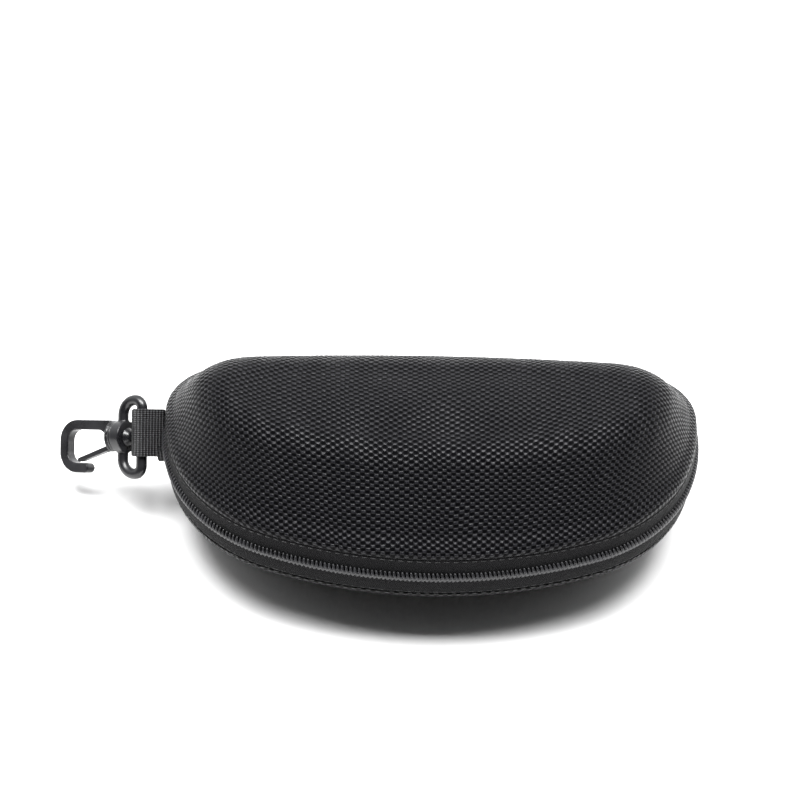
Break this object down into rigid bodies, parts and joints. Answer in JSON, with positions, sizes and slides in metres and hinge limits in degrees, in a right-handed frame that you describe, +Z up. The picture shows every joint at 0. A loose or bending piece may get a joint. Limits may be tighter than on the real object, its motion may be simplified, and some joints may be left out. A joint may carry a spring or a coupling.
{
  "type": "zipped hard-shell glasses case",
  "caption": "Half-moon hard-shell glasses case with a zip round three sides, a fabric hinge, a webbing tab and a swivel snap hook.",
  "frame": {"origin": "middle of the flat face that the case rests on, below the case's widest line by 15 mm towards the back", "axes": "+Z up out of the lid, +X along the case, -Y to the curved front, +Y to the hinge"},
  "size_m": [0.1922, 0.0835, 0.0572],
  "materials": {
    "woven_cover": "woven textured nylon, satin",
    "eva_board": "moulded foam board",
    "lining": "soft brushed knit",
    "binding": "grosgrain binding tape",
    "zip_tape": "woven zip tape",
    "zip_coil": "moulded nylon coil",
    "hinge_fabric": "plain woven nylon",
    "webbing": "ribbed nylon webbing",
    "stop_metal": "black lacquer, satin",
    "zip_hardware": "black lacquer, semi-gloss",
    "hook_plastic": "moulded acetal, satin",
    "gate_plastic": "moulded acetal, satin"
  },
  "bodies": {
    "lower_half": {"bottom_cover": "woven_cover", "bottom_core": "eva_board", "bottom_lining": "lining", "bottom_rim_binding": "binding", "bottom_zip_tape": "zip_tape", "bottom_zip_coil": "zip_coil", "bottom_hinge_strip": "hinge_fabric", "right_zip_end": "zip_tape", "left_zip_end": "zip_tape", "right_zip_chain": "zip_coil", "left_zip_chain": "zip_coil", "zip_bottom_stop": "stop_metal", "zip_top_stops": "stop_metal", "webbing_tab": "webbing"},
    "lid": {"top_cover": "woven_cover", "top_core": "eva_board", "top_lining": "lining", "top_rim_binding": "binding", "top_zip_tape": "zip_tape", "top_zip_coil": "zip_coil", "top_hinge_strip": "hinge_fabric"},
    "slider": {"slider_body": "zip_hardware"},
    "puller": {"puller": "zip_hardware"},
    "ring": {"swivel_ring": "hook_plastic"},
    "hook": {"snap_hook": "hook_plastic"},
    "gate": {"hook_gate": "gate_plastic"}
  },
  "joints": [
    {"name": "lid_hinge", "type": "hinge", "parent": "lower_half", "child": "lid", "pos_m": [0, 0.03607, 0.0286], "axis": [-1, 0, 0], "range_deg": [0, 110]},
    {"name": "slider_run", "type": "hinge", "parent": "lower_half", "child": "slider", "pos_m": [0.0604, 0.01507, 0.0286], "axis": [0, 0, -1], "range_deg": [0, 75]},
    {"name": "puller_swing", "type": "hinge", "parent": "slider", "child": "puller", "pos_m": [0.06279, 0.0378, 0.0286], "axis": [0.9945, -0.1045, 0], "range_deg": [-4, 165]},
    {"name": "ring_swing", "type": "hinge", "parent": "lower_half", "child": "ring", "pos_m": [-0.0859, 0.01269, 0.02683], "axis": [-0.0069, 0.6989, 0.7152], "range_deg": [-15, 110]},
    {"name": "hook_swivel", "type": "hinge", "parent": "ring", "child": "hook", "pos_m": [-0.09184, 0.01545, 0.02408], "axis": [-0.8364, 0.388, -0.3873], "continuous": true},
    {"name": "gate_spring", "type": "hinge", "parent": "hook", "child": "gate", "pos_m": [-0.09595, 0.01492, 0.01966], "axis": [0.5481, 0.6008, -0.5818], "range_deg": [0, 25], "stiffness_Nm_per_rad": 0.002}
  ]
}
